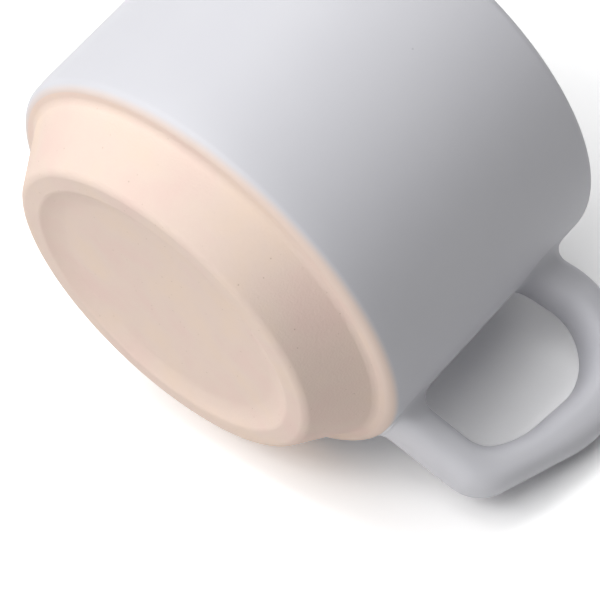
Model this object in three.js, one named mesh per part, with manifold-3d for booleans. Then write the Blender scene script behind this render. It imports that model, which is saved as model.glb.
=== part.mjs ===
// A stacking stoneware cup with an ear-shaped handle, in millimetres, +Z up.
// The turned clay body stands on a tapered, unglazed foot that nests in the mouth of the cup below.
// The handle is made by itself and luted to the wall with slip, and then the cup is glazed
// inside, outside and round the handle.
// The origin is on the resting plane, below the middle of the box that holds cup and handle.
import * as THREE from 'three';
import { mergeVertices } from 'three/addons/utils/BufferGeometryUtils.js';
import Module from 'manifold-3d';

// Cup
const CUP_RADIUS = 42.5; // outside of the glazed wall
const CUP_HEIGHT = 66.9; // resting plane to the glazed lip
const WALL = 3.5; // glazed wall, and so the width of the lip
const FLOOR = 4.0; // glazed floor above the middle of the recess
const BOWL_RADIUS = 15.0; // big inner corner between the wall and the floor

// Foot
const STACK_CLEARANCE = 0.3; // room round the foot in the mouth of the cup below
const STEP_HEIGHT = 10.6; // underside of the shoulder, which bears on the lip of the cup below
const STEP_FLAT = 0.2; // flat part of that underside
const CREASE_RADIUS = 0.5; // soft corner where the foot leaves the step
const FOOT_SLOPE = 31.4; // degrees that the foot's side leans in from upright
const FOOT_ROUND = 2.0; // rounding from the foot's side to the resting ring
const RING_WIDTH = 2.7; // flat resting ring
const RING_INNER_ROUND = 1.6; // rounding from the ring into the recess
const RECESS_SLOPE = 32.0; // steepest slope of the recess wall, degrees from level
const RECESS_FILLET = 9.0; // wide soft corner of the recess
const RECESS_DISH = 0.5; // rise of the recess towards its middle

// Glaze
const GLAZE = 0.4; // coat thickness
const BOND = 0.1; // room between a coat or joint and the clay below it
const GLAZE_LINE_ANGLE = 46.0; // where the coat ends, degrees round the shoulder

// Handle
const HANDLE_REACH = 28.0; // glazed wall to the outermost point of the ear
const HANDLE_WIDTH = 11.7; // band width
const LOWER_ARM_ABOVE_STEP = 2.0; // underside of the lower arm at the wall
const LOWER_ARM_THICKNESS = 7.3; // upright at the wall
const LOWER_ARM_RISE = 5.1; // degrees
const UPPER_ARM_BELOW_LIP = 9.2; // top of the upper arm at the wall
const UPPER_ARM_THICKNESS = 8.0; // upright at the wall
const UPPER_ARM_RISE = 15.0; // degrees, top of the upper arm
const UPPER_GAP_RISE = 12.5; // degrees, underside of the upper arm
const UPPER_ARM_STRAIGHT = 0.2; // straight of the upper arm between its joint and the big upper bend
const BAR_THICKNESS = 7.1; // square to the bar, halfway up it
const BAR_LEAN = 19.3; // degrees that the outside of the bar leans out from upright
const BAR_GAP_LEAN = 9.9; // degrees that its gap side leans out
const HEEL_OUTER_RADIUS = 7.8; // lower bend outside
const HEEL_GAP_RADIUS = 9.5; // lower bend inside the finger gap
const CREST_GAP_RADIUS = 10.7; // upper bend inside the finger gap
const SECTION_POWER = 2.5; // 2 is an ellipse, more is squarer

// Slip joints
const JOINT_LENGTH = 3.0; // reach of the slip along the arm
const LOWER_GAP_FLARE = 3.0; // spread of the lower joint towards the finger gap
const UPPER_GAP_FLARE = 0.9; // spread of the upper joint towards the finger gap
const SIDE_FLARE = 2.0; // spread of the joint along the wall
const TOP_FLARE = 2.8; // spread above the upper arm
const UNDER_FLARE = 0.5; // spread below the lower arm, where the glaze line is close
const JOINT_CLEARANCE = 0.3; // room round a joint where it reaches through the outer coat

// Smoothness
const TURN_SEGMENTS = 60;
const SECTION_POINTS = 20; // a multiple of 4
const LIP_STEPS = 3;
const SHOULDER_STEPS = 5;
const BOWL_STEPS = 7;
const FOOT_STEPS = 5;
const SMALL_ARC_STEPS = 3;
const HEEL_STEPS = 6;
const CREST_STEPS = 12;
const JOINT_STEPS = 5;
const WELD = 1e-5; // vertices this close are one

const rad = THREE.MathUtils.degToRad;
const QUARTER_TURN = Math.PI / 2;

// Sizes worked out from the driving dimensions
const clayRadius = CUP_RADIUS - GLAZE;
const clayInnerRadius = CUP_RADIUS - WALL + GLAZE;
const clayLip = (clayRadius - clayInnerRadius) / 2;
const clayLipRadius = clayRadius - clayLip;
const clayTop = CUP_HEIGHT - GLAZE;

const footSlope = rad(FOOT_SLOPE);
const footTopRadius = CUP_RADIUS - WALL - STACK_CLEARANCE;
const footSideHeight = STEP_HEIGHT - FOOT_ROUND * (1 - Math.sin(footSlope));
const ringOuter = footTopRadius - footSideHeight * Math.tan(footSlope) - FOOT_ROUND * Math.cos(footSlope);
const ringInner = ringOuter - RING_WIDTH;
const creaseCentreR = footTopRadius + CREASE_RADIUS * Math.tan((QUARTER_TURN - footSlope) / 2);
const shoulderRadius = clayRadius - creaseCentreR - STEP_FLAT;

const recessSlope = rad(RECESS_SLOPE);
const recessCentreR = ringInner - (RING_INNER_ROUND + RECESS_FILLET) * Math.sin(recessSlope);
const recessCentreZ = RING_INNER_ROUND - (RING_INNER_ROUND + RECESS_FILLET) * Math.cos(recessSlope);
const recessTop = recessCentreZ + RECESS_FILLET;
const clayFloor = recessTop + RECESS_DISH + FLOOR - GLAZE;

const lowerRise = rad(LOWER_ARM_RISE);
const upperRise = rad(UPPER_ARM_RISE);
const barLean = rad(BAR_LEAN);
const barLeanGap = rad(BAR_GAP_LEAN);
const lowerArmZ = STEP_HEIGHT + LOWER_ARM_ABOVE_STEP;
const upperArmZ = CUP_HEIGHT - UPPER_ARM_BELOW_LIP;
const coreEnd = JOINT_LENGTH + 2 * BOND;
const crestOuter = (HANDLE_REACH - coreEnd - UPPER_ARM_STRAIGHT) / (1 + Math.sin(upperRise));
const cupAxisX = -HANDLE_REACH / 2;

// Points along a circular arc in the (radius, height) plane, angles in radians.
function arc(centreR, centreZ, radius, from, to, steps) {
  const clockwise = to < from;
  return new THREE.EllipseCurve(centreR, centreZ, radius, radius, from, to, clockwise).getPoints(steps);
}

// A solid of revolution about the cup's axis from a profile that runs anticlockwise in (radius, height).
function turned(profile) {
  const geometry = new THREE.LatheGeometry(profile, TURN_SEGMENTS);
  return geometry.rotateX(QUARTER_TURN); // the lathe turns about +Y, the cup stands along +Z
}

// Underside of the body: dished recess, rounded resting ring, tapered foot and the step above it.
function footProfile() {
  const dishTop = recessTop + RECESS_DISH;
  const dish = new THREE.QuadraticBezierCurve(
    new THREE.Vector2(0, dishTop),
    new THREE.Vector2(recessCentreR / 2, dishTop),
    new THREE.Vector2(recessCentreR, recessTop),
  );
  const steep = QUARTER_TURN - recessSlope;
  const recess = arc(recessCentreR, recessCentreZ, RECESS_FILLET, QUARTER_TURN, steep, SMALL_ARC_STEPS);
  const round = RING_INNER_ROUND;
  const ring = arc(ringInner, round, round, steep - Math.PI, -QUARTER_TURN, SMALL_ARC_STEPS);
  const side = arc(ringOuter, FOOT_ROUND, FOOT_ROUND, -QUARTER_TURN, -footSlope, FOOT_STEPS);
  const creaseZ = STEP_HEIGHT - CREASE_RADIUS;
  const creaseFrom = Math.PI - footSlope;
  const crease = arc(creaseCentreR, creaseZ, CREASE_RADIUS, creaseFrom, QUARTER_TURN, SMALL_ARC_STEPS);
  return [...dish.getPoints(SMALL_ARC_STEPS), ...recess.slice(1), ...ring.slice(1), ...side, ...crease];
}

// Rounded shoulder, upright wall and the outer half of the lip, at a distance outside the clay.
function outsideProfile(offset, shoulderFrom) {
  const shoulderR = clayRadius - shoulderRadius;
  const shoulderZ = STEP_HEIGHT + shoulderRadius;
  return [
    ...arc(shoulderR, shoulderZ, shoulderRadius + offset, shoulderFrom, 0, SHOULDER_STEPS),
    ...arc(clayLipRadius, clayTop - clayLip, clayLip + offset, 0, QUARTER_TURN, LIP_STEPS),
  ];
}

// Inner half of the lip, inner wall and the bowl down to the floor, at a distance outside the clay.
function insideProfile(offset) {
  const bowlR = clayInnerRadius - BOWL_RADIUS;
  const bowlZ = clayFloor + BOWL_RADIUS;
  return [
    ...arc(clayLipRadius, clayTop - clayLip, clayLip + offset, QUARTER_TURN, Math.PI, LIP_STEPS),
    ...arc(bowlR, bowlZ, BOWL_RADIUS - offset, 0, -QUARTER_TURN, BOWL_STEPS),
    new THREE.Vector2(0, clayFloor + offset),
  ];
}

function bodyGeometry() {
  const inside = insideProfile(0).slice(1);
  return turned([...footProfile(), ...outsideProfile(0, -QUARTER_TURN), ...inside]);
}

function outerCoatGeometry() {
  const edge = -rad(GLAZE_LINE_ANGLE);
  const face = outsideProfile(GLAZE, edge);
  const back = outsideProfile(BOND, edge).reverse();
  return turned([...face, ...back, face[0]]);
}

function linerGeometry() {
  const face = insideProfile(GLAZE);
  const back = insideProfile(BOND).reverse();
  return turned([...back, ...face]);
}

// A straight edge of the band through a point of the (radius, height) plane. Edges run from the lower arm
// up the bar and back along the upper arm, so that every bend turns to the left.
function edgeLine(r, z, angle) {
  const along = new THREE.Vector2(Math.cos(angle), Math.sin(angle));
  return { point: new THREE.Vector2(r, z), angle, along };
}

function heightOn(edge, r) {
  return edge.point.y + (r - edge.point.x) * Math.tan(edge.angle);
}

// Centre of the bend from one edge into the next: both edges, moved left by the radius, cross there.
function bendCentre(before, after, radius) {
  const [start, other] = [before, after].map(({ point, along }) => (
    new THREE.Vector2(point.x - radius * along.y, point.y + radius * along.x)
  ));
  const distance = other.sub(start).cross(after.along) / before.along.cross(after.along);
  return start.addScaledVector(before.along, distance);
}

function bend(before, after, radius, steps) {
  const { x, y } = bendCentre(before, after, radius);
  return arc(x, y, radius, before.angle - QUARTER_TURN, after.angle - QUARTER_TURN, steps);
}

// The outer edges. The big upper bend reaches furthest out, and the bar leaves it at the bar's lean.
const lowerOuter = edgeLine(CUP_RADIUS, lowerArmZ, lowerRise);
const upperOuter = edgeLine(CUP_RADIUS, upperArmZ, Math.PI + upperRise);
const crestCentreR = CUP_RADIUS + HANDLE_REACH - crestOuter;
const crestCentreZ = heightOn(upperOuter, crestCentreR) - crestOuter / Math.cos(upperRise);
const barTopR = crestCentreR + crestOuter * Math.cos(barLean);
const barTopZ = crestCentreZ - crestOuter * Math.sin(barLean);
const barOuter = edgeLine(barTopR, barTopZ, QUARTER_TURN - barLean);

// The edges at the finger gap, a thickness inside the outer ones.
const lowerGap = edgeLine(CUP_RADIUS, lowerArmZ + LOWER_ARM_THICKNESS, lowerRise);
const upperGap = edgeLine(CUP_RADIUS, upperArmZ - UPPER_ARM_THICKNESS, Math.PI + rad(UPPER_GAP_RISE));
const heelCentre = bendCentre(lowerOuter, barOuter, HEEL_OUTER_RADIUS);
const barMiddleR = (heelCentre.x + HEEL_OUTER_RADIUS * Math.cos(barLean) + barTopR) / 2;
const barMiddleZ = (heelCentre.y - HEEL_OUTER_RADIUS * Math.sin(barLean) + barTopZ) / 2;
const barGapR = barMiddleR - BAR_THICKNESS * Math.cos(barLean);
const barGapZ = barMiddleZ + BAR_THICKNESS * Math.sin(barLean);
const barGap = edgeLine(barGapR, barGapZ, QUARTER_TURN - barLeanGap);

// Concave spread of a slip joint at a distance from the wall: the whole flare at the wall, none at its end.
function flareAt(distance, flare) {
  const along = THREE.MathUtils.clamp((distance - BOND) / JOINT_LENGTH, 0, 1);
  return flare * (1 - Math.sqrt(1 - (1 - along) ** 2));
}

// Distances from the glazed wall of the sections through a slip joint, closer together at the wall.
function jointDistances() {
  const turn = QUARTER_TURN / JOINT_STEPS;
  return Array.from({ length: JOINT_STEPS + 1 }, (_, i) => BOND + JOINT_LENGTH * (1 - Math.cos(i * turn)));
}

// One section of an arm, with its edges in the plane of the ear and the spread of its joint there.
function armSection(distance, edges, flares) {
  const r = CUP_RADIUS + distance;
  return {
    outer: new THREE.Vector2(r, heightOn(edges.outer, r) + flareAt(distance, flares.outer)),
    gap: new THREE.Vector2(r, heightOn(edges.gap, r) + flareAt(distance, flares.gap)),
    halfWidth: HANDLE_WIDTH / 2 + flareAt(distance, SIDE_FLARE),
    wallRadius: r,
  };
}

function lowerArm(distances) {
  const edges = { outer: lowerOuter, gap: lowerGap };
  const flares = { outer: -UNDER_FLARE, gap: LOWER_GAP_FLARE };
  return distances.map((distance) => armSection(distance, edges, flares));
}

function upperArm(distances) {
  const edges = { outer: upperOuter, gap: upperGap };
  const flares = { outer: TOP_FLARE, gap: -UPPER_GAP_FLARE };
  return distances.map((distance) => armSection(distance, edges, flares)).reverse();
}

// Sections round the heel, the bar and the crest.
function bendSections() {
  const outerEdge = [
    ...bend(lowerOuter, barOuter, HEEL_OUTER_RADIUS, HEEL_STEPS),
    ...bend(barOuter, upperOuter, crestOuter, CREST_STEPS),
  ];
  const gapEdge = [
    ...bend(lowerGap, barGap, HEEL_GAP_RADIUS, HEEL_STEPS),
    ...bend(barGap, upperGap, CREST_GAP_RADIUS, CREST_STEPS),
  ];
  return outerEdge.map((outer, i) => ({ outer, gap: gapEdge[i], halfWidth: HANDLE_WIDTH / 2 }));
}

// The points of one section, reduced all round by an inset. A section near the wall follows the wall's curve.
function sectionRing(section, inset) {
  const middle = section.outer.clone().add(section.gap).multiplyScalar(0.5);
  const across = section.outer.clone().sub(section.gap);
  const halfThickness = across.length() / 2 - inset;
  const halfWidth = section.halfWidth - inset;
  across.normalize();
  const power = 2 / SECTION_POWER;
  const ring = [];
  for (let i = 0; i < SECTION_POINTS; i += 1) {
    const angle = (4 * QUARTER_TURN * i) / SECTION_POINTS;
    const c = Math.cos(angle);
    const s = Math.sin(angle);
    const t = halfThickness * Math.sign(c) * Math.abs(c) ** power;
    const y = halfWidth * Math.sign(s) * Math.abs(s) ** power;
    const wall = section.wallRadius;
    const sag = wall ? wall - Math.sqrt(wall * wall - y * y) : 0;
    ring.push(new THREE.Vector3(middle.x + t * across.x - sag, y, middle.y + t * across.y));
  }
  return ring;
}

// Triangles between neighbouring rings, facing away from the middle of the band.
function skin(rings, positions, inwards) {
  for (let i = 0; i + 1 < rings.length; i += 1) {
    for (let j = 0; j < SECTION_POINTS; j += 1) {
      const k = (j + 1) % SECTION_POINTS;
      const [a, b, c, d] = [rings[i][j], rings[i][k], rings[i + 1][k], rings[i + 1][j]];
      const order = inwards ? [a, c, b, a, d, c] : [a, b, c, a, c, d];
      positions.push(...order);
    }
  }
}

// A flat or wall-shaped end over a ring, made of upright strips, which lie true on the wall's curve.
function cap(ring, positions, atStart) {
  const quarter = SECTION_POINTS / 4;
  const at = (index) => ring[(index + SECTION_POINTS) % SECTION_POINTS];
  for (let j = -quarter; j < quarter; j += 1) {
    const [a, b, c, d] = [at(j), at(j + 1), at(2 * quarter - j - 1), at(2 * quarter - j)];
    if (b !== c) positions.push(...(atStart ? [a, c, b] : [a, b, c]));
    if (a !== d) positions.push(...(atStart ? [a, d, c] : [a, c, d]));
  }
}

function geometryFrom(points) {
  const geometry = new THREE.BufferGeometry().setFromPoints(points);
  const merged = mergeVertices(geometry, WELD);
  merged.computeVertexNormals();
  return merged;
}

// A solid bar lofted through sections.
function loft(sections, inset) {
  const rings = sections.map((section) => sectionRing(section, inset));
  const positions = [];
  skin(rings, positions, false);
  cap(rings[0], positions, true);
  cap(rings[rings.length - 1], positions, false);
  return geometryFrom(positions);
}

// A tube lofted through sections, from its face down to an inset, open at both ends.
function loftTube(sections, inset) {
  const face = sections.map((section) => sectionRing(section, 0));
  const back = sections.map((section) => sectionRing(section, inset));
  const positions = [];
  skin(face, positions, false);
  skin(back, positions, true);
  skin([back[0], face[0]], positions, false);
  skin([face[face.length - 1], back[back.length - 1]], positions, false);
  return geometryFrom(positions);
}

// A closed geometry as a solid for cutting, and back again.
function toSolid(geometry) {
  const bare = geometry.clone();
  bare.deleteAttribute('normal');
  bare.deleteAttribute('uv');
  const merged = mergeVertices(bare, WELD);
  const vertProperties = new Float32Array(merged.attributes.position.array);
  const triVerts = new Uint32Array(merged.index.array);
  return new wasm.Manifold(new wasm.Mesh({ numProp: 3, vertProperties, triVerts }));
}

function fromSolid(solid) {
  const mesh = solid.getMesh();
  const geometry = new THREE.BufferGeometry();
  geometry.setAttribute('position', new THREE.BufferAttribute(mesh.vertProperties, 3));
  geometry.setIndex(new THREE.BufferAttribute(mesh.triVerts, 1));
  geometry.computeVertexNormals();
  return geometry;
}

const wasm = await Module();
wasm.setup();

const clayWall = [BOND - GLAZE]; // a joint starts at the clay, below the coat
const jointSteps = jointDistances();
const bends = bendSections();

const lowerJoint = loft(lowerArm([...clayWall, ...jointSteps]), GLAZE);
const upperJoint = loft(upperArm([...clayWall, ...jointSteps]), GLAZE);
const handleCore = loft([...lowerArm([coreEnd]), ...bends, ...upperArm([coreEnd])], GLAZE);
const handleCoat = loftTube([...lowerArm(jointSteps), ...bends, ...upperArm(jointSteps)], GLAZE - BOND);

// The outer coat is open where the slip joints reach through it to the clay.
const opening = [-2 * GLAZE, 0, 2 * GLAZE];
const coatSolid = toSolid(outerCoatGeometry());
const lowerOpening = toSolid(loft(lowerArm(opening), GLAZE - JOINT_CLEARANCE));
const upperOpening = toSolid(loft(upperArm(opening), GLAZE - JOINT_CLEARANCE));
const outerCoat = fromSolid(coatSolid.subtract(lowerOpening).subtract(upperOpening));

const bareClay = () => new THREE.MeshStandardMaterial({ color: 0xead6c5, roughness: 0.85, metalness: 0 });
const slipClay = () => new THREE.MeshStandardMaterial({ color: 0xe6d2c2, roughness: 0.85, metalness: 0 });
const satinGlaze = () => new THREE.MeshStandardMaterial({ color: 0xd4d5da, roughness: 0.5, metalness: 0 });

function piece(name, geometry, material) {
  const mesh = new THREE.Mesh(geometry, material);
  mesh.name = name;
  return mesh;
}

const cup = new THREE.Group();
cup.position.x = cupAxisX;
cup.add(piece('cup_body', bodyGeometry(), bareClay()));
cup.add(piece('handle', handleCore, bareClay()));
cup.add(piece('upper_slip_joint', upperJoint, slipClay()));
cup.add(piece('lower_slip_joint', lowerJoint, slipClay()));
cup.add(piece('outer_glaze', outerCoat, satinGlaze()));
cup.add(piece('liner_glaze', linerGeometry(), satinGlaze()));
cup.add(piece('handle_glaze', handleCoat, satinGlaze()));

export default cup;
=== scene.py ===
"""A stoneware stacking cup lying on a pale floor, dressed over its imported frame.

The turned clay body, the two glaze coats and the glazed ear are modelled as by hand and stand for their
plain solids. The clay core of the ear and its two slip joints stay as they were made, hidden under the
glaze. Everything is in metres, in the frame of the part: +Z runs up the cup's axis from its foot, +X runs
towards the ear, and the floor is the plane that the lying cup touches with its wall and its ear.
Sizes in the classes are in millimetres and angles in degrees, unless a docstring says otherwise.
"""
import logging
import math
from collections.abc import Callable
from dataclasses import dataclass
from enum import Enum

import bmesh
import bpy
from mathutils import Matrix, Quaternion, Vector


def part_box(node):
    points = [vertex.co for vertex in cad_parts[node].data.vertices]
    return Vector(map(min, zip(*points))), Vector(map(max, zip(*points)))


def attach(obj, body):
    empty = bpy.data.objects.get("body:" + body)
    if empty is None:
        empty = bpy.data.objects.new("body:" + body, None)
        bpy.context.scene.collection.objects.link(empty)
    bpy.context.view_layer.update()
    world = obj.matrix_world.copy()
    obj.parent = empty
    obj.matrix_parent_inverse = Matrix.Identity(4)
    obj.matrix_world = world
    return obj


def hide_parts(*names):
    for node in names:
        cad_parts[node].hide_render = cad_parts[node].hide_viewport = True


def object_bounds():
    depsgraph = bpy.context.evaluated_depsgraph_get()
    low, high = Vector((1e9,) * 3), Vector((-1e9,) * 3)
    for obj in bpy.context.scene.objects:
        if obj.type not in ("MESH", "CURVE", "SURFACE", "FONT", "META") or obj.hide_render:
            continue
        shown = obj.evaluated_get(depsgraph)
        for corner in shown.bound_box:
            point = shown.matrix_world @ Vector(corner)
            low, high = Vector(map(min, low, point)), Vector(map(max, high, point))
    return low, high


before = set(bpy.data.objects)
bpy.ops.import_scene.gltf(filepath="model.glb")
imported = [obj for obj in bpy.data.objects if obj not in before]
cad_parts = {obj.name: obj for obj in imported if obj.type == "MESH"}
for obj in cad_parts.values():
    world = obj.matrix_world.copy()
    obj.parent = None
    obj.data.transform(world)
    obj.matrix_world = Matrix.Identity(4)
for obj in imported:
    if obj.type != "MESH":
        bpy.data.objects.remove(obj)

CAD_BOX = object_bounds()
MM = 0.001
QUARTER_TURN = math.pi / 2
TURN_SEGMENTS = 192  # facets round the cup
QUARTER_STEPS = 14  # facets in a quarter round of a turned corner
ROUND_PROFILE = 0.5  # the bevel profile that is an arc
BEVEL_SHARE = 0.99  # keeps the bevels of neighbouring corners from meeting
PLACE_MM = 0.01  # points this close are in one place
MERGE_MM = 0.001  # points this close become one
POLE_MM = 0.2  # the smallest ring, which closes to a point on the axis
SMOOTH_ANGLE = 40.0  # an edge that turns by more than this stays sharp
FACE_WEIGHT = 100  # the large faces set the shading of the narrow ones beside them
SOFT_OCTAVES = 2.0  # layers of detail in a smooth noise
ROUGH_OCTAVES = 3.0  # layers of detail in a livelier one
HALVINGS = 40  # rounds of halving an angle, far finer than any point of a mesh
WHITE = "FFFFFF"
log = logging.getLogger("cup")


class Slot(Enum):
    """Names of the material slots for the modelled pieces, which finish_piece is given but does not use."""

    BODY = "bare_clay"
    OUTER_COAT = "outer_glaze"
    LINER_COAT = "liner_glaze"
    EAR_COAT = "handle_glaze"


def linear(colour: str) -> tuple[float, float, float, float]:
    """Turns an sRGB hex colour into linear light.

    Args:
        colour: Six hex digits.

    Returns:
        Red, green, blue and alpha.
    """
    shares = [int(colour[i:i + 2], 16) / 255 for i in (0, 2, 4)]
    light = [s / 12.92 if s <= 0.04045 else ((s + 0.055) / 1.055) ** 2.4 for s in shares]
    return (*light, 1.0)


def per_mm(size: float) -> float:
    """Gives the texture scale at which a pattern's features are this many millimetres across."""
    return 1 / (size * MM)


def new_tree(name: str) -> tuple[bpy.types.Material, bpy.types.NodeTree]:
    """Makes a material with an empty node tree.

    Args:
        name: The material's name.

    Returns:
        The material and its tree.
    """
    material = bpy.data.materials.new(name)
    material.use_nodes = True
    material.node_tree.nodes.clear()
    return material, material.node_tree


def add_node(tree: bpy.types.NodeTree, kind: str, settings: dict,
             links: dict | None = None) -> bpy.types.Node:
    """Adds a node, sets its properties and inputs, and links its inputs.

    Args:
        tree: The node tree.
        kind: Blender's name of the node type.
        settings: Values by property name, input name or input number.
        links: Output sockets by input name or number.

    Returns:
        The new node.
    """
    node = tree.nodes.new(kind)
    for key, value in settings.items():
        if isinstance(key, str) and hasattr(node, key):
            setattr(node, key, value)
    sockets = dict(enumerate(node.inputs))
    sockets.update({socket.name: socket for socket in reversed(node.inputs) if socket.enabled})
    for key, value in settings.items():
        if not (isinstance(key, str) and hasattr(node, key)):
            sockets[key].default_value = value
    for key, output in (links or {}).items():
        tree.links.new(output, sockets[key])
    return node


def result(node: bpy.types.Node) -> bpy.types.NodeSocket:
    """Gives the first output that a node has in use."""
    return next(socket for socket in node.outputs if socket.enabled)


def scattered_dots(tree: bpy.types.NodeTree, at: bpy.types.NodeSocket, spacing: float, width: float,
                   share: float) -> bpy.types.NodeSocket:
    """Scatters small soft dots, one each in some cells of an uneven net.

    Args:
        tree: The node tree.
        at: The coordinates.
        spacing: Width of a cell.
        width: Width of a dot.
        share: Share of the cells that hold a dot.

    Returns:
        A socket that is 1 in the middle of a dot and 0 beside it.
    """
    cells = add_node(tree, "ShaderNodeTexVoronoi", {"Scale": per_mm(spacing)}, {"Vector": at})
    reach = width / spacing / 2
    dot = add_node(tree, "ShaderNodeMapRange", {"From Min": reach, "From Max": 0.0},
                   {"Value": cells.outputs["Distance"]})
    lot = add_node(tree, "ShaderNodeSeparateColor", {}, {"Color": cells.outputs["Color"]})
    picked = add_node(tree, "ShaderNodeMath", {"operation": "LESS_THAN", 1: share}, {0: result(lot)})
    dots = add_node(tree, "ShaderNodeMath", {"operation": "MULTIPLY"}, {0: result(dot), 1: result(picked)})
    return result(dots)


def looked_at(tree: bpy.types.NodeTree) -> bpy.types.NodeSocket:
    """Picks the rays that show a surface to the eye, straight on, mirrored or through glass.

    Args:
        tree: The node tree.

    Returns:
        A socket that is 1 for those rays and 0 for the ones that only carry light.
    """
    path = add_node(tree, "ShaderNodeLightPath", {})
    mirrored = add_node(tree, "ShaderNodeMath", {"operation": "MAXIMUM"},
                        {0: path.outputs["Is Glossy Ray"], 1: path.outputs["Is Transmission Ray"]})
    seen = add_node(tree, "ShaderNodeMath", {"operation": "MAXIMUM"},
                    {0: path.outputs["Is Camera Ray"], 1: result(mirrored)})
    return result(seen)


@dataclass(frozen=True)
class BareStoneware:
    """Unglazed stoneware from the kiln: dry and chalky, with fine grit, pores darkened with painted shade,
    and faint flashing.
    """

    name: str = "bare_stoneware_fired"
    body: str = "ECD7CA"
    flashed: str = "ECD3C8"
    ochre: str = "EED8C7"
    # colour of the painted shade inside the pores
    pore_shade: str = "C9B29F"
    cloud: float = 11.0  # width of a cloud of flashing
    cloud_middle: float = 0.5  # level of the clouds at which the clay has its own colour
    cloud_swing: float = 0.2  # from there to full pink or full ochre
    grit: float = 0.45
    grit_depth: float = 0.05
    pore_spacing: float = 1.9
    pore_width: float = 0.36
    pore_share: float = 0.75
    roughness: float = 0.88
    ior: float = 1.45
    gloss: float = 0.3

    def material(self) -> bpy.types.Material:
        """Builds the finish.

        Returns:
            The material.
        """
        material, tree = new_tree(self.name)
        at = add_node(tree, "ShaderNodeTexCoord", {}).outputs["Object"]
        # Kiln flashing shows as faint pink and ochre clouds about a centimetre across.
        cloud = add_node(tree, "ShaderNodeTexNoise", {"Scale": per_mm(self.cloud), "Detail": ROUGH_OCTAVES},
                         {"Vector": at})
        middle = self.cloud_middle
        swing = self.cloud_swing
        pink = add_node(tree, "ShaderNodeMapRange", {"From Min": middle, "From Max": middle + swing},
                        {"Value": result(cloud)})
        buff = add_node(tree, "ShaderNodeMapRange", {"From Min": middle, "From Max": middle - swing},
                        {"Value": result(cloud)})
        warm = add_node(tree, "ShaderNodeMix",
                        {"data_type": "RGBA", "A": linear(self.body), "B": linear(self.flashed)},
                        {"Factor": result(pink)})
        clay = add_node(tree, "ShaderNodeMix", {"data_type": "RGBA", "B": linear(self.ochre)},
                        {"Factor": result(buff), "A": result(warm)})
        # Open pores are small dents in the relief, each darkened with painted shade.
        pores = scattered_dots(tree, at, self.pore_spacing, self.pore_width, self.pore_share)
        shaded_pits = add_node(tree, "ShaderNodeMix", {"data_type": "RGBA", "B": linear(self.pore_shade)},
                          {"Factor": pores, "A": result(clay)})
        # Grit gives the dry surface its sandy relief.
        grit = add_node(tree, "ShaderNodeTexNoise", {"Scale": per_mm(self.grit), "Detail": SOFT_OCTAVES},
                        {"Vector": at})
        relief = add_node(tree, "ShaderNodeMath", {"operation": "SUBTRACT"}, {0: result(grit), 1: pores})
        bump = add_node(tree, "ShaderNodeBump", {"Distance": self.grit_depth * MM},
                        {"Height": result(relief)})
        shader = add_node(tree, "ShaderNodeBsdfPrincipled",
                          {"Roughness": self.roughness, "IOR": self.ior, "Specular IOR Level": self.gloss},
                          {"Base Color": result(shaded_pits), "Normal": result(bump)})
        add_node(tree, "ShaderNodeOutputMaterial", {}, {"Surface": result(shader)})
        return material


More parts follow.
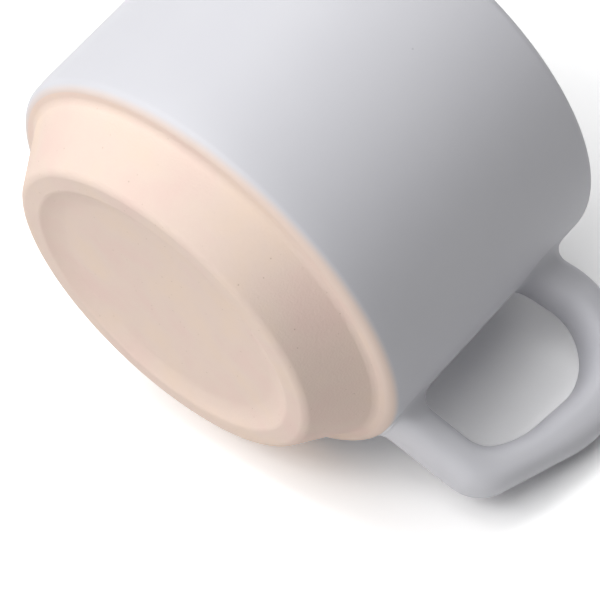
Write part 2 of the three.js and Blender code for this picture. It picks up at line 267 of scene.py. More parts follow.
@dataclass(frozen=True)
class SatinGlaze:
    """Opaque satin matt glaze, dipped and fired: smooth, softly clouded, with clay showing at its edge."""

    name: str = "satin_matt_glaze_dipped"
    coat: str = "D6D6DB"
    pooled: str = "D1D1D7"
    clay: str = "ECD7CA"
    speck: str = "B9B9BF"
    cloud: float = 18.0
    ripple: float = 3.0
    ripple_depth: float = 0.004
    speck_spacing: float = 7.0
    speck_width: float = 0.5
    speck_share: float = 0.3
    edge_width: float = 1.5  # height over which the coat thins out to nothing
    edge_waver: float = 0.4  # rise and fall of the glaze line round the cup
    edge_lean: float = 0.84  # lean of the glaze line towards the ear
    roughness: float = 0.5
    clay_roughness: float = 0.88
    ior: float = 1.5

    def material(self, axis: float, edge_height: float) -> bpy.types.Material:
        """Builds the finish.

        Args:
            axis: Place of the cup's axis along X, in metres.
            edge_height: Height on that axis of the glaze line, the middle of the thinning edge.

        Returns:
            The material.
        """
        material, tree = new_tree(self.name)
        at = add_node(tree, "ShaderNodeTexCoord", {}).outputs["Object"]
        # The coat is a touch deeper in colour where it lies thicker.
        cloud = add_node(tree, "ShaderNodeTexNoise", {"Scale": per_mm(self.cloud), "Detail": SOFT_OCTAVES},
                         {"Vector": at})
        coat = add_node(tree, "ShaderNodeMix",
                        {"data_type": "RGBA", "A": linear(self.coat), "B": linear(self.pooled)},
                        {"Factor": result(cloud)})
        # A few specks of iron bleed through from the clay.
        specks = scattered_dots(tree, at, self.speck_spacing, self.speck_width, self.speck_share)
        flecked = add_node(tree, "ShaderNodeMix", {"data_type": "RGBA", "B": linear(self.speck)},
                           {"Factor": specks, "A": result(coat)})
        # Clay shows through where the coat thins out. The cup was dipped with a slight lean.
        place = add_node(tree, "ShaderNodeSeparateXYZ", {}, {"Vector": at})
        lean = math.tan(math.radians(self.edge_lean))
        waver = self.edge_waver * MM
        level = add_node(tree, "ShaderNodeMath", {"operation": "MULTIPLY_ADD", 1: -lean},
                         {0: place.outputs["X"], 2: place.outputs["Z"]})
        shift = add_node(tree, "ShaderNodeMath",
                         {"operation": "MULTIPLY_ADD", 1: waver, 2: lean * axis - waver / 2},
                         {0: result(cloud)})
        height = add_node(tree, "ShaderNodeMath", {"operation": "ADD"}, {0: result(level), 1: result(shift)})
        bare = (edge_height - self.edge_width / 2) * MM
        full = (edge_height + self.edge_width / 2) * MM
        cover = add_node(tree, "ShaderNodeMapRange",
                         {"interpolation_type": "SMOOTHSTEP", "From Min": bare, "From Max": full},
                         {"Value": result(height)})
        shown = add_node(tree, "ShaderNodeMix", {"data_type": "RGBA", "A": linear(self.clay)},
                         {"Factor": result(cover), "B": result(flecked)})
        # The bare edge is as dull as the clay, and the full coat has a soft sheen.
        sheen = add_node(tree, "ShaderNodeMapRange",
                         {"To Min": self.clay_roughness, "To Max": self.roughness},
                         {"Value": result(cover)})
        # A very slight ripple keeps the sheen from being perfectly even.
        ripple = add_node(tree, "ShaderNodeTexNoise", {"Scale": per_mm(self.ripple), "Detail": ROUGH_OCTAVES},
                          {"Vector": at})
        bump = add_node(tree, "ShaderNodeBump", {"Distance": self.ripple_depth * MM},
                        {"Height": result(ripple)})
        shader = add_node(tree, "ShaderNodeBsdfPrincipled", {"IOR": self.ior},
                          {"Base Color": result(shown), "Roughness": result(sheen), "Normal": result(bump)})
        add_node(tree, "ShaderNodeOutputMaterial", {}, {"Surface": result(shader)})
        return material


@dataclass(frozen=True)
class PaleFloor:
    """Smooth painted board: white, and open to the camera from behind so that it hides no other side."""

    name: str = "white_painted_board"
    paint: str = "DEDEDE"
    worn: str = "DADADA"
    cloud: float = 60.0
    glare: float = 1.8  # gain on the paint where the board is looked at

    def material(self) -> bpy.types.Material:
        """Builds the finish.

        Returns:
            The material.
        """
        material, tree = new_tree(self.name)
        at = add_node(tree, "ShaderNodeTexCoord", {}).outputs["Object"]
        # Handling leaves the paint very slightly clouded.
        cloud = add_node(tree, "ShaderNodeTexNoise", {"Scale": per_mm(self.cloud)}, {"Vector": at})
        paint = add_node(tree, "ShaderNodeMix",
                         {"data_type": "RGBA", "A": linear(self.paint), "B": linear(self.worn)},
                         {"Factor": result(cloud)})
        # Looked at, the board is brighter than its paint, so that all of it but the shadow is white.
        bright = add_node(tree, "ShaderNodeMapRange", {"To Min": 1.0, "To Max": self.glare},
                          {"Value": looked_at(tree)})
        seen = add_node(tree, "ShaderNodeVectorMath", {"operation": "SCALE"},
                        {"Vector": result(paint), "Scale": result(bright)})
        board = add_node(tree, "ShaderNodeBsdfDiffuse", {}, {"Color": result(seen)})
        # The board lets the lamp below it through, so that the side lying on it isn't black from behind.
        path = add_node(tree, "ShaderNodeLightPath", {})
        side = add_node(tree, "ShaderNodeNewGeometry", {})
        behind = add_node(tree, "ShaderNodeMath", {"operation": "MULTIPLY"},
                          {0: path.outputs["Is Camera Ray"], 1: side.outputs["Backfacing"]})
        open_to = add_node(tree, "ShaderNodeMath", {"operation": "MAXIMUM"},
                           {0: result(behind), 1: path.outputs["Is Shadow Ray"]})
        clear = add_node(tree, "ShaderNodeBsdfTransparent", {})
        shown = add_node(tree, "ShaderNodeMixShader", {},
                         {0: result(open_to), 1: result(board), 2: result(clear)})
        add_node(tree, "ShaderNodeOutputMaterial", {}, {"Surface": result(shown)})
        return material


@dataclass(frozen=True)
class Corner:
    """One corner of a turned outline: its distance from the cup's axis, its height and its rounding."""

    radius: float
    height: float
    rounding: float = 0.0


@dataclass(frozen=True)
class CupForm:
    """The turned form that the clay body and its coats share. The axis is a place along X, in metres."""

    axis: float
    radius: float
    height: float
    reach: float
    wall: float = 3.5
    floor: float = 4.0
    bowl_radius: float = 15.0
    stack_clearance: float = 0.2
    step_height: float = 10.85
    step_slope: float = 8.0
    cove_radius: float = 1.9
    shoulder_radius: float = 2.0
    foot_slope: float = 31.2
    foot_round: float = 2.0
    ring_width: float = 2.7
    ring_round: float = 1.6
    recess_slope: float = 32.0
    recess_fillet: float = 9.0
    recess_dish: float = 0.5
    dish_rings: int = 4
    glaze: float = 0.4
    glaze_line: float = 11.9

    @classmethod
    def from_frame(cls) -> "CupForm":
        """Takes the axis, the glazed wall, the lip and the ear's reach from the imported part.

        Returns:
            The form.
        """
        low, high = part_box("outer_glaze")
        axis = (low[0] + high[0]) / 2
        radius = (high[1] - low[1]) / 2 / MM
        end = CAD_BOX[1]
        return cls(axis, radius, end[2] / MM, (end[0] - axis) / MM - radius)

    @property
    def clay_radius(self) -> float:
        """Outside of the wall's clay."""
        return self.radius - self.glaze

    @property
    def mouth_radius(self) -> float:
        """Inside of the glazed wall."""
        return self.radius - self.wall

    @property
    def foot_top_radius(self) -> float:
        """Radius at which the foot's side would meet the step. It nests in the mouth of the cup below."""
        return self.mouth_radius - self.stack_clearance

    @property
    def wall_start(self) -> float:
        """Height at which the rounding from the step ends and the straight wall starts."""
        run = self.shoulder_radius * math.tan((QUARTER_TURN - math.radians(self.step_slope)) / 2)
        return self.step_at(self.clay_radius) + run

    @property
    def ring_corner(self) -> float:
        """Radius at which the line of the foot's side would meet the resting plane."""
        return self.foot_top_radius - self.step_height * math.tan(math.radians(self.foot_slope))

    @property
    def recess_corner(self) -> float:
        """Finds where the line of the recess's wall would meet the resting plane.

        Returns:
            The radius there.
        """
        outer_run = self.foot_round * math.tan((QUARTER_TURN - math.radians(self.foot_slope)) / 2)
        inner_run = self.ring_round * math.tan(math.radians(self.recess_slope) / 2)
        return self.ring_corner - outer_run - self.ring_width - inner_run

    @property
    def recess_depth(self) -> float:
        """Depth of the recess at its rim."""
        return (self.ring_round + self.recess_fillet) * (1 - math.cos(math.radians(self.recess_slope)))

    @property
    def floor_height(self) -> float:
        """Top of the glazed floor inside the cup."""
        return self.recess_depth + self.recess_dish + self.floor

    def step_at(self, radius: float) -> float:
        """Gives the height of the step's sloping underside at a distance from the axis."""
        return self.step_height + (radius - self.foot_top_radius) * math.tan(math.radians(self.step_slope))


def start_piece(name: str, vertices: int, radius: float) -> bpy.types.Object:
    """Adds a ring at the origin and opens it for editing, alone.

    Args:
        name: The piece's name.
        vertices: Points on the ring.
        radius: Its radius in metres.

    Returns:
        The new object, in edit mode with all of it selected.
    """
    bpy.ops.object.select_all(action="DESELECT")
    bpy.ops.mesh.primitive_circle_add(vertices=vertices, radius=radius, enter_editmode=True)
    piece = bpy.context.object
    piece.name = name
    piece.data.name = name
    return piece


def select_points(piece: bpy.types.Object, wanted: Callable[[Vector], bool]) -> None:
    """Selects, in edit mode, the points in a place and the edges and faces between them.

    Args:
        piece: The object being edited.
        wanted: Says whether a place is meant.
    """
    bpy.ops.mesh.select_all(action="DESELECT")
    edited = bmesh.from_edit_mesh(piece.data)
    for point in edited.verts:
        point.select = wanted(point.co)
    edited.select_mode = {"VERT"}
    edited.select_flush_mode()
    bmesh.update_edit_mesh(piece.data)


def apply_modifier(piece: bpy.types.Object, kind: str, settings: dict) -> None:
    """Adds a modifier to a piece and applies it.

    Args:
        piece: The active object, in object mode.
        kind: Blender's name of the modifier type.
        settings: Its properties.
    """
    modifier = piece.modifiers.new(kind.lower(), kind)
    for key, value in settings.items():
        setattr(modifier, key, value)
    bpy.ops.object.modifier_apply(modifier=modifier.name)


def finish_piece(piece: bpy.types.Object, material: bpy.types.Material, slot: Slot, *nodes: str) -> None:
    """Smooths a piece, gives it its finish and says what it stands for.

    Args:
        piece: The active object, in object mode.
        material: Its finish.
        slot: The material slot; not used.
        nodes: The plain solids that it stands for.
    """
    bpy.ops.object.shade_smooth_by_angle(angle=math.radians(SMOOTH_ANGLE))
    apply_modifier(piece, "WEIGHTED_NORMAL", {"keep_sharp": True, "weight": FACE_WEIGHT})
    piece.data.materials.append(material)
    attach(piece, "root")
    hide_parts(*nodes)
    log.info("%s stands for %s, %d faces", piece.name, ", ".join(nodes), len(piece.data.polygons))


class TurnedShape:
    """A shape thrown on the wheel: a ring drawn out through the corners of an outline, then rounded."""

    def __init__(self, name: str, axis: float, corners: list[Corner]) -> None:
        """Turns the outline.

        Args:
            name: The piece's name.
            axis: Place of the cup's axis along X, in metres.
            corners: The outline from its start to its end.
        """
        self.axis = axis
        self.piece = start_piece(name, TURN_SEGMENTS, corners[0].radius * MM)
        bpy.ops.transform.translate(value=(axis, 0, corners[0].height * MM))
        for before, here in zip(corners, corners[1:]):
            self._draw_to(before, here)
        for before, here, after in zip(corners, corners[1:], corners[2:]):
            if here.rounding:
                self._round(before, here, after)
        for end in (corners[0], corners[-1]):
            if end.radius <= POLE_MM:
                self._select_ring(end)
                bpy.ops.mesh.merge(type="CENTER")

    def _draw_to(self, before: Corner, here: Corner) -> None:
        """Extrudes the selected ring from one corner to the next.

        Args:
            before: The corner where the ring is.
            here: The corner where it goes.
        """
        share = here.radius / before.radius
        middle = (self.axis, 0, before.height * MM)
        bpy.ops.mesh.extrude_region()
        bpy.ops.transform.resize(value=(share, share, 1), center_override=middle)
        bpy.ops.transform.translate(value=(0, 0, (here.height - before.height) * MM))

    def _round(self, before: Corner, here: Corner, after: Corner) -> None:
        """Bevels the ring at a corner to its rounding.

        Args:
            before: The corner before it.
            here: The corner.
            after: The corner after it.
        """
        inwards = Vector((here.radius - before.radius, here.height - before.height))
        onwards = Vector((after.radius - here.radius, after.height - here.height))
        turn = inwards.angle(onwards)
        run = here.rounding * math.tan(turn / 2) * BEVEL_SHARE
        steps = math.ceil(QUARTER_STEPS * turn / QUARTER_TURN)
        self._select_ring(here)
        bpy.ops.mesh.bevel(offset=run * MM, offset_type="OFFSET", segments=steps, profile=ROUND_PROFILE,
                           affect="EDGES")

    def _select_ring(self, corner: Corner) -> None:
        """Selects the ring of points at a corner.

        Args:
            corner: The corner.
        """
        def on_ring(place: Vector) -> bool:
            """Says whether a place is on the ring."""
            away = math.hypot(place.x - self.axis, place.y) - corner.radius * MM
            return abs(away) < PLACE_MM * MM and abs(place.z - corner.height * MM) < PLACE_MM * MM
        select_points(self.piece, on_ring)

    def face(self) -> None:
        """Merges doubles and turns all faces the way that the lip or the wall faces."""
        bpy.ops.mesh.select_all(action="SELECT")
        bpy.ops.mesh.remove_doubles(threshold=MERGE_MM * MM)
        bpy.ops.mesh.normals_make_consistent(inside=False)

    def feather(self, height: float, depth: float, spread: float) -> None:
        """Thins a skin's edge out, so that it sinks smoothly into what lies below it.

        Args:
            height: Height of the edge.
            depth: How far the edge sinks.
            spread: How far from the edge the skin starts to thin.
        """
        def on_edge(point: bmesh.types.BMVert) -> bool:
            """Says whether a point is on that edge."""
            return point.is_boundary and abs(point.co.z - height * MM) < PLACE_MM * MM
        edited = bmesh.from_edit_mesh(self.piece.data)
        edge = {tuple(point.co) for point in edited.verts if on_edge(point)}
        select_points(self.piece, lambda place: tuple(place) in edge)
        bpy.ops.transform.shrink_fatten(value=-depth * MM, use_proportional_edit=True,
                                        proportional_edit_falloff="SMOOTH", proportional_size=spread * MM)

    def close(self) -> bpy.types.Object:
        """Ends the editing and gives the piece, in object mode."""
        bpy.ops.object.mode_set(mode="OBJECT")
        return self.piece


@dataclass(frozen=True)
class ClayBody:
    """The turned clay body, bare at its foot and in its recess."""

    form: CupForm
    finish: BareStoneware

    def corners(self) -> list[Corner]:
        """Draws the outline of the clay.

        Returns:
            Its corners, from the middle of the recess over foot, wall and lip to the middle of the floor.
        """
        form = self.form
        lip = (form.wall - 2 * form.glaze) / 2
        inner = form.mouth_radius + form.glaze
        top = form.height - form.glaze
        floor = form.floor_height - form.glaze
        slope = math.radians(form.recess_slope)
        rim = form.recess_corner - form.recess_depth / math.tan(slope)
        dish = [k / form.dish_rings for k in range(1, form.dish_rings)]
        edge = rim - form.recess_fillet * math.tan(slope / 2)
        return [
            Corner(POLE_MM, form.recess_depth + form.recess_dish),
            *[Corner(edge * k, form.recess_depth + form.recess_dish * (1 - k * k)) for k in dish],
            Corner(rim, form.recess_depth, form.recess_fillet),
            Corner(form.recess_corner, 0.0, form.ring_round),
            Corner(form.ring_corner, 0.0, form.foot_round),
            Corner(form.foot_top_radius, form.step_height, form.cove_radius),
            Corner(form.clay_radius, form.step_at(form.clay_radius), form.shoulder_radius),
            Corner(form.clay_radius, top, lip),
            Corner(inner, top, lip),
            Corner(inner, floor, form.bowl_radius),
            Corner(POLE_MM, floor),
        ]

    def build(self) -> bpy.types.Object:
        """Models and dresses the body.

        Returns:
            The piece.
        """
        shape = TurnedShape("turned_clay_body", self.form.axis, self.corners())
        shape.face()
        piece = shape.close()
        finish_piece(piece, self.finish.material(), Slot.BODY, "cup_body")
        return piece


@dataclass(frozen=True)
class GlazeCoats:
    """The two dipped coats. The outer one laps over the lip onto the liner and thins out on the shoulder."""

    form: CupForm
    finish: SatinGlaze
    thickness: float = 0.3
    start: float = 1.0  # from the foot's corner out to the outer coat's lower edge
    feather: float = 6.0  # from that edge to where the coat has its full height
    wall_rings: int = 4  # rings that let the wall thin out smoothly
    lap: float = 5.0  # how far the outer coat runs down inside the mouth
    lap_height: float = 0.05  # how far it stands proud of the liner there
    lap_feather: float = 2.0

    def _skin(self, shape: TurnedShape, slot: Slot, node: str, edge_height: float = 0.0) -> bpy.types.Object:
        """Gives an open skin its thickness towards the clay and dresses it.

        Args:
            shape: The skin.
            slot: The material slot, passed on to finish_piece.
            node: The plain solid that it stands for.
            edge_height: Height of the glaze line, where it thins out.

        Returns:
            The piece.
        """
        piece = shape.close()
        apply_modifier(piece, "SOLIDIFY", {"thickness": self.thickness * MM, "offset": -1.0})
        finish_piece(piece, self.finish.material(self.form.axis, edge_height), slot, node)
        return piece

    def build_outer(self) -> bpy.types.Object:
        """Models and dresses the coat of the wall.

        Returns:
            The piece.
        """
        form = self.form
        lip = form.wall / 2
        below = form.glaze / math.cos(math.radians(form.step_slope))
        inner = form.foot_top_radius + self.start
        edge = form.step_at(inner) - below
        lap_end = form.height - lip - self.lap
        rings = [form.wall_start + self.feather * (k + 1) / self.wall_rings for k in range(self.wall_rings)]
        shape = TurnedShape("outer_glaze_coat", form.axis, [
            Corner(inner, edge),
            Corner(form.radius, form.step_at(form.radius) - below, form.shoulder_radius + form.glaze),
            *[Corner(form.radius, height) for height in rings],
            Corner(form.radius, form.height, lip),
            Corner(form.mouth_radius, form.height, lip),
            Corner(form.mouth_radius, lap_end + self.lap_feather),
            Corner(form.mouth_radius, lap_end + self.lap_feather / 2),
            Corner(form.mouth_radius, lap_end),
        ])
        shape.face()
        shape.feather(edge, form.glaze + self.lap_height / 2, self.feather)
        shape.feather(lap_end, 2 * self.lap_height, self.lap_feather)
        return self._skin(shape, Slot.OUTER_COAT, "outer_glaze", form.glaze_line)

    def build_liner(self) -> bpy.types.Object:
        """Models and dresses the coat of the inside.

        Returns:
            The piece.
        """
        form = self.form
        lip = form.wall / 2 - self.lap_height
        inner = form.mouth_radius + self.lap_height
        top = form.height - self.lap_height
        shape = TurnedShape("liner_glaze_coat", form.axis, [
            Corner(inner + lip, top),
            Corner(inner, top, lip),
            Corner(inner, form.floor_height, form.bowl_radius - form.glaze),
            Corner(POLE_MM, form.floor_height),
        ])
        shape.face()
        return self._skin(shape, Slot.LINER_COAT, "liner_glaze")


@dataclass(frozen=True)
class Section:
    """One section of the ear: its two edges in the ear's plane, as (distance, height), and its width."""

    outer: Vector
    gap: Vector
    width: float

    @property
    def middle(self) -> Vector:
        """Halfway between the edges."""
        return (self.outer + self.gap) / 2

    @property
    def thickness(self) -> float:
        """From edge to edge."""
        return (self.outer - self.gap).length

    @property
    def lean(self) -> float:
        """Turn of the section from upright towards +X, in radians."""
        across = self.outer - self.gap
        return math.atan2(across.x, across.y)


@dataclass(frozen=True)
class EdgeLine:
    """A straight edge of the ear's band, in its plane: a point on it and its angle, in radians.

    Edges run from the lower arm up the bar and back along the upper arm, so every bend turns left.
    """

    point: Vector
    angle: float

    @property
    def along(self) -> Vector:
        """Its direction."""
        return Vector((math.cos(self.angle), math.sin(self.angle)))

    def height(self, away: float) -> float:
        """Gives its height at a distance from the cup's axis."""
        return self.point.y + (away - self.point.x) * math.tan(self.angle)

    def bend_centre(self, after: "EdgeLine", radius: float) -> Vector:
        """Finds the centre of the bend into the next edge.

        Args:
            after: The next edge.
            radius: The bend's radius.

        Returns:
            Where both edges cross when they are moved left by the radius.
        """
        start, other = (edge.point + radius * edge.along.orthogonal() for edge in (self, after))
        distance = (other - start).cross(after.along) / self.along.cross(after.along)
        return start + distance * self.along

    def bend(self, after: "EdgeLine", radius: float, steps: int) -> list[Vector]:
        """Gives points along the bend into the next edge.

        Args:
            after: The next edge.
            radius: The bend's radius.
            steps: How many steps the bend has.

        Returns:
            The points.
        """
        centre = self.bend_centre(after, radius)
        turn = (after.angle - self.angle) / steps
        angles = [self.angle - QUARTER_TURN + turn * step for step in range(steps + 1)]
        return [centre + radius * Vector((math.cos(angle), math.sin(angle))) for angle in angles]


@dataclass(frozen=True)
class EarHandle:
    """The ear: a band between an outer edge and one at the finger gap, luted to the wall and glazed."""

    form: CupForm
    finish: SatinGlaze
    width: float = 11.7
    lower_above_step: float = 1.75
    lower_thickness: float = 7.52
    lower_rise: float = 5.1
    upper_below_lip: float = 9.2
    upper_thickness: float = 7.87
    upper_rise: float = 15.0
    upper_gap_rise: float = 11.3
    upper_straight: float = 0.4
    bar_thickness: float = 6.65  # to where the two halves of the bar's gap edge would cross
    bar_lean: float = 19.3
    bar_gap_lean: float = 18.8
    bar_gap_bow: float = 12.4  # turn of each half of that edge from its lean
    bar_gap_round: float = 20.9
    heel_outer: float = 7.8
    heel_gap: float = 6.87
    crest_gap: float = 10.36
    section_power: float = 2.5  # 2 would be an ellipse, and more is squarer
    bond: float = 0.1  # how far the joint's foot stands off the wall's glaze
    joint_length: float = 3.0
    lower_gap_flare: float = 3.0
    upper_gap_flare: float = 0.9
    side_flare: float = 2.0
    top_flare: float = 2.8
    under_flare: float = 0.3
    root: float = 1.2  # how deep the ends reach into the wall
    root_spread: float = 1.25  # flare of the ends inside the wall
    section_points: int = 64
    joint_steps: int = 12
    heel_steps: int = 14
    bar_steps: int = 12
    crest_steps: int = 30

    @property
    def crest_outer(self) -> float:
        """Radius of the big upper bend outside."""
        room = self.form.reach - self.joint_length - self.upper_straight
        return room / (1 + math.sin(math.radians(self.upper_rise)))

    def outer_edges(self) -> list[EdgeLine]:
        """Lays out the outside of the band.

        Returns:
            The outer edges of the lower arm, the bar and the upper arm.
        """
        wall = self.form.radius
        rise = math.radians(self.upper_rise)
        lean = math.radians(self.bar_lean)
        low = self.form.step_height + self.lower_above_step
        top = self.form.height - self.upper_below_lip
        lower = EdgeLine(Vector((wall, low)), math.radians(self.lower_rise))
        upper = EdgeLine(Vector((wall, top)), math.pi + rise)
        away = wall + self.form.reach - self.crest_outer
        crest = Vector((away, upper.height(away) - self.crest_outer / math.cos(rise)))
        bar_top = crest + self.crest_outer * Vector((math.cos(lean), -math.sin(lean)))
        return [lower, EdgeLine(bar_top, QUARTER_TURN - lean), upper]

    def gap_edges(self) -> list[EdgeLine]:
        """Lays out the finger gap.

        Returns:
            The edges there of the lower arm, the bar's two halves and the upper arm.
        """
        lower, bar, upper = self.outer_edges()
        lean = math.radians(self.bar_lean)
        across = Vector((math.cos(lean), -math.sin(lean)))
        bar_foot = lower.bend_centre(bar, self.heel_outer) + self.heel_outer * across
        bar_gap = (bar_foot + bar.point) / 2 - self.bar_thickness * across
        up = Vector((0, 1))
        return [
            EdgeLine(lower.point + self.lower_thickness * up, lower.angle),
            EdgeLine(bar_gap, QUARTER_TURN - math.radians(self.bar_gap_lean + self.bar_gap_bow)),
            EdgeLine(bar_gap, QUARTER_TURN - math.radians(self.bar_gap_lean - self.bar_gap_bow)),
            EdgeLine(upper.point - self.upper_thickness * up, math.pi + math.radians(self.upper_gap_rise)),
        ]

    def _arm(self, outer: EdgeLine, gap: EdgeLine, outer_flare: float, gap_flare: float) -> list[Section]:
        """Gives the sections of an arm from the wall to the end of its joint, flared towards the wall.

        Args:
            outer: The arm's outer edge.
            gap: Its edge at the finger gap.
            outer_flare: Upward spread of the joint on the outside.
            gap_flare: Upward spread of the joint at the gap.

        Returns:
            The sections, the first of them below the wall's glaze.
        """
        turn = QUARTER_TURN / self.joint_steps
        stations = [1 - math.cos(step * turn) for step in range(self.joint_steps + 1)]
        places = [(-self.root, self.root_spread), (-self.bond, self.root_spread)]
        for along in stations:
            places.append((self.bond + self.joint_length * along, 1 - math.sqrt(1 - (1 - along) ** 2)))
        sections = []
        for distance, spread in places:
            away = self.form.radius + distance
            high = Vector((away, outer.height(away) + spread * outer_flare))
            low = Vector((away, gap.height(away) + spread * gap_flare))
            sections.append(Section(high, low, self.width + 2 * spread * self.side_flare))
        return sections

    def sections(self) -> list[Section]:
        """Lays out the whole band.

        Returns:
            Its sections, from the lower root to the upper one.
        """
        lower, bar, upper = self.outer_edges()
        lower_gap, low_bar, high_bar, upper_gap = self.gap_edges()
        heel = lower.bend(bar, self.heel_outer, self.heel_steps)
        crest = bar.bend(upper, self.crest_outer, self.crest_steps)
        shares = [(step + 1) / (self.bar_steps + 2) for step in range(self.bar_steps + 1)]
        outer = [*heel, *[heel[-1].lerp(crest[0], share) for share in shares], *crest]
        gap = lower_gap.bend(low_bar, self.heel_gap, self.heel_steps)
        gap += low_bar.bend(high_bar, self.bar_gap_round, self.bar_steps)
        gap += high_bar.bend(upper_gap, self.crest_gap, self.crest_steps)
        upper_arm = self._arm(upper, upper_gap, self.top_flare, -self.upper_gap_flare)
        return [
            *self._arm(lower, lower_gap, -self.under_flare, self.lower_gap_flare),
            *[Section(*edges, self.width) for edges in zip(outer, gap)],
            *reversed(upper_arm),
        ]

    def _place(self, point: Vector) -> Vector:
        """Puts a point of the ear's plane into the part's frame, in metres."""
        return Vector((self.form.axis + point.x * MM, 0, point.y * MM))

    def _square_up(self, piece: bpy.types.Object) -> None:
        """Stands the first ring upright and squares it up from a circle to the band's rounded section.

        Args:
            piece: The ring, a millimetre in radius, in edit mode.
        """
        power = 2 / self.section_power
        edited = bmesh.from_edit_mesh(piece.data)
        for point in edited.verts:
            thick, wide = (math.copysign(abs(share / MM) ** power, share) for share in point.co.xy)
            point.co = (0, wide * MM, thick * MM)
        bmesh.update_edit_mesh(piece.data)

    def _lay(self, ring: Section, target: Section) -> None:
        """Moves the selected ring from one section to another.

        Args:
            ring: The section where the ring is.
            target: The section where it goes.
        """
        start = self._place(ring.middle)
        end = self._place(target.middle)
        widen = target.width / ring.width
        thicken = target.thickness / ring.thickness
        # With no window the operator turns the other way, so both turns have their signs changed.
        bpy.ops.transform.rotate(value=ring.lean, orient_axis="Y", center_override=start)
        bpy.ops.transform.resize(value=(1, widen, thicken), center_override=start)
        bpy.ops.transform.rotate(value=-target.lean, orient_axis="Y", center_override=start)
        bpy.ops.transform.translate(value=end - start)

    def _seat(self, piece: bpy.types.Object) -> None:
        """Lets the flared ends follow the round wall, less and less towards the end of the joint.

        Args:
            piece: The ear, in edit mode.
        """
        edited = bmesh.from_edit_mesh(piece.data)
        for point in edited.verts:
            away = (point.co.x - self.form.axis) / MM
            beside = point.co.y / MM
            fade = 1 - min(max((away - self.form.radius) / self.joint_length, 0), 1)
            sag = self.form.radius - math.sqrt(self.form.radius ** 2 - beside ** 2)
            point.co.x -= sag * fade * MM
        bmesh.update_edit_mesh(piece.data)

    def build(self) -> bpy.types.Object:
        """Models and dresses the glazed ear.

        Returns:
            The piece.
        """
        piece = start_piece("glazed_ear", self.section_points, MM)
        self._square_up(piece)
        # The ring starts upright at the origin, two millimetres wide and thick.
        origin = -self.form.axis / MM
        ring = Section(Vector((origin, 1)), Vector((origin, -1)), 2)
        for number, section in enumerate(self.sections()):
            if number:
                bpy.ops.mesh.extrude_region()
            self._lay(ring, section)
            ring = section
        bpy.ops.mesh.select_all(action="SELECT")
        bpy.ops.mesh.fill_holes(sides=0)
        bpy.ops.mesh.select_all(action="SELECT")
        bpy.ops.mesh.normals_make_consistent(inside=False)
        self._seat(piece)
        bpy.ops.object.mode_set(mode="OBJECT")
        finish_piece(piece, self.finish.material(self.form.axis, 0.0), Slot.EAR_COAT, "handle_glaze")
        return piece


@dataclass(frozen=True)
class HiddenClay:
    """The clay core of the ear and its slip joints, which the glaze covers."""

    finish: BareStoneware
    nodes: tuple[str, ...] = ("handle", "upper_slip_joint", "lower_slip_joint")

    def dress(self) -> None:
        """Gives the plain solids their finish."""
        material = self.finish.material()
        for name in self.nodes:
            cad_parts[name].material_slots[0].material = material
            log.info("%s keeps its solid, dressed in %s", name, material.name)


@dataclass(frozen=True)
class Lamp:
    """A square soft box, aimed at the cup, with its distance and size in metres.

    Its azimuth runs along the floor from the picture's right, with 90 away from the camera, and its elevation
    is negative below the floor. Its light is how bright a white sheet that faces it would be under it alone.
    """

    name: str
    azimuth: float
    elevation: float
    light: float
    distance: float = 1.2
    size: float = 0.6


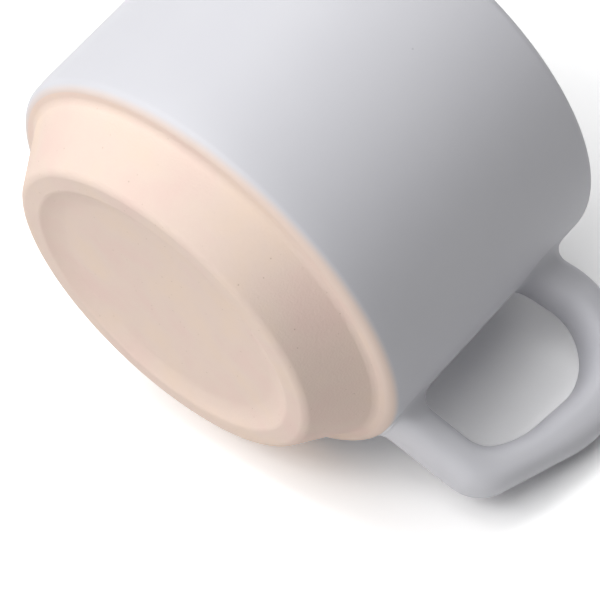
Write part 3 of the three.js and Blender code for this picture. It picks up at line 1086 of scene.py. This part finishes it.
@dataclass(frozen=True)
class Studio:
    """The floor that the cup lies on, the lamps, the surroundings and the camera. The floor is in metres."""

    form: CupForm
    floor_finish: PaleFloor
    floor_size: float = 2.4
    lamps: tuple[Lamp, ...] = (
        Lamp("overhead_soft_box", 124.0, 75.0, 0.395),
        Lamp("left_soft_box", 180.0, 55.0, 0.24),
        Lamp("front_left_soft_box", 225.0, 55.0, 0.27),
        Lamp("front_soft_box", 270.0, 75.0, 0.215),
        Lamp("low_front_soft_box", 225.0, 15.0, 0.185),
        Lamp("back_right_soft_box", 45.0, 35.0, 0.1),
        Lamp("low_back_soft_box", 90.0, 15.0, 0.07),
        Lamp("under_soft_box", 90.0, -45.0, 0.1),
    )
    aim: tuple[float, float, float] = (1.87, 0.0, 19.3)
    camera_distance: float = 599.25
    camera_azimuth: float = -0.02
    camera_elevation: float = -20.94
    camera_roll: float = 43.34
    camera_lens: float = 206.63
    camera_near: float = 10.0

    def resting_turn(self, ear: bpy.types.Object) -> float:
        """Finds where round the cup the floor touches the wall, so that it touches the ear as well.

        Args:
            ear: The glazed ear.

        Returns:
            The angle from +X, in radians.
        """
        points = [(point.co.x - self.form.axis, point.co.y) for point in ear.data.vertices]
        low, high = 0.0, QUARTER_TURN
        for _ in range(HALVINGS):
            turn = (low + high) / 2
            reach = max(x * math.cos(turn) + y * math.sin(turn) for x, y in points)
            low, high = (turn, high) if reach > self.form.radius * MM else (low, turn)
        return turn

    def build(self, ear: bpy.types.Object) -> None:
        """Sets up the whole studio.

        Args:
            ear: The glazed ear, which the floor touches.
        """
        turn = self.resting_turn(ear)
        out = Vector((math.cos(turn), math.sin(turn), 0))
        touch = Vector((self.form.axis, 0, self.form.height * MM / 2)) + out * self.form.radius * MM
        up = -out
        camera = self._camera()
        side = camera.matrix_world.to_3x3() @ Vector((1, 0, 0))
        right = (side - side.project(up)).normalized()
        self._floor(touch, up)
        self._world()
        for lamp in self.lamps:
            self._lamp(lamp, touch, up, right)

    def _floor(self, touch: Vector, up: Vector) -> None:
        """Lays the floor.

        Args:
            touch: The point of it that the cup touches.
            up: Its normal.
        """
        bpy.ops.object.select_all(action="DESELECT")
        turn = up.to_track_quat("Z", "Y").to_euler()
        bpy.ops.mesh.primitive_plane_add(size=self.floor_size, location=touch, rotation=turn)
        floor = bpy.context.object
        floor.name = "floor"
        floor.data.materials.append(self.floor_finish.material())

    def _lamp(self, lamp: Lamp, touch: Vector, up: Vector, right: Vector) -> None:
        """Hangs a lamp, aimed at the cup.

        Args:
            lamp: The lamp.
            touch: The point of the floor below the cup.
            up: The floor's normal.
            right: The direction along the floor that is the picture's right.
        """
        azimuth = math.radians(lamp.azimuth)
        elevation = math.radians(lamp.elevation)
        level = math.cos(azimuth) * right + math.sin(azimuth) * up.cross(right)
        away = math.cos(elevation) * level + math.sin(elevation) * up
        turn = away.to_track_quat("Z", "Y").to_euler()
        bpy.ops.object.light_add(type="AREA", location=touch + away * lamp.distance, rotation=turn)
        box = bpy.context.object
        box.name = lamp.name
        box.data.size = lamp.size
        box.data.energy = lamp.light * (math.pi * lamp.distance) ** 2
        box.visible_camera = False

    def _world(self) -> None:
        """Surrounds the cup with white that is seen and mirrored but lights nothing else."""
        world = bpy.data.worlds.new("studio")
        bpy.context.scene.world = world
        world.use_nodes = True
        tree = world.node_tree
        tree.nodes.clear()
        white = add_node(tree, "ShaderNodeBackground", {"Color": linear(WHITE)},
                         {"Strength": looked_at(tree)})
        add_node(tree, "ShaderNodeOutputWorld", {}, {"Surface": result(white)})

    def _camera(self) -> bpy.types.Object:
        """Stands the camera where the photograph was taken from.

        Returns:
            The camera.
        """
        azimuth = math.radians(self.camera_azimuth)
        elevation = math.radians(self.camera_elevation)
        level = Vector((math.sin(azimuth), -math.cos(azimuth), 0)) * math.cos(elevation)
        back = level + Vector((0, 0, math.sin(elevation)))
        aim = Vector(self.aim) * MM
        bpy.ops.object.camera_add(location=aim + back * self.camera_distance * MM)
        camera = bpy.context.object
        camera.rotation_mode = "QUATERNION"
        roll = Quaternion(back, math.radians(self.camera_roll))
        camera.rotation_quaternion = roll @ (-back).to_track_quat("-Z", "Y")
        camera.data.lens = self.camera_lens
        camera.data.clip_start = self.camera_near * MM
        bpy.context.scene.camera = camera
        bpy.context.view_layer.update()
        return camera


def main() -> None:
    """Builds the cup and its studio."""
    bpy.context.scene.view_settings.view_transform = "Standard"
    form = CupForm.from_frame()
    clay = BareStoneware()
    glaze = SatinGlaze()
    ClayBody(form, clay).build()
    coats = GlazeCoats(form, glaze)
    coats.build_outer()
    coats.build_liner()
    ear = EarHandle(form, glaze).build()
    HiddenClay(clay).dress()
    Studio(form, PaleFloor()).build(ear)


if __name__ == "__main__":
    logging.basicConfig(level=logging.INFO, format="%(name)s: %(message)s")
    main()
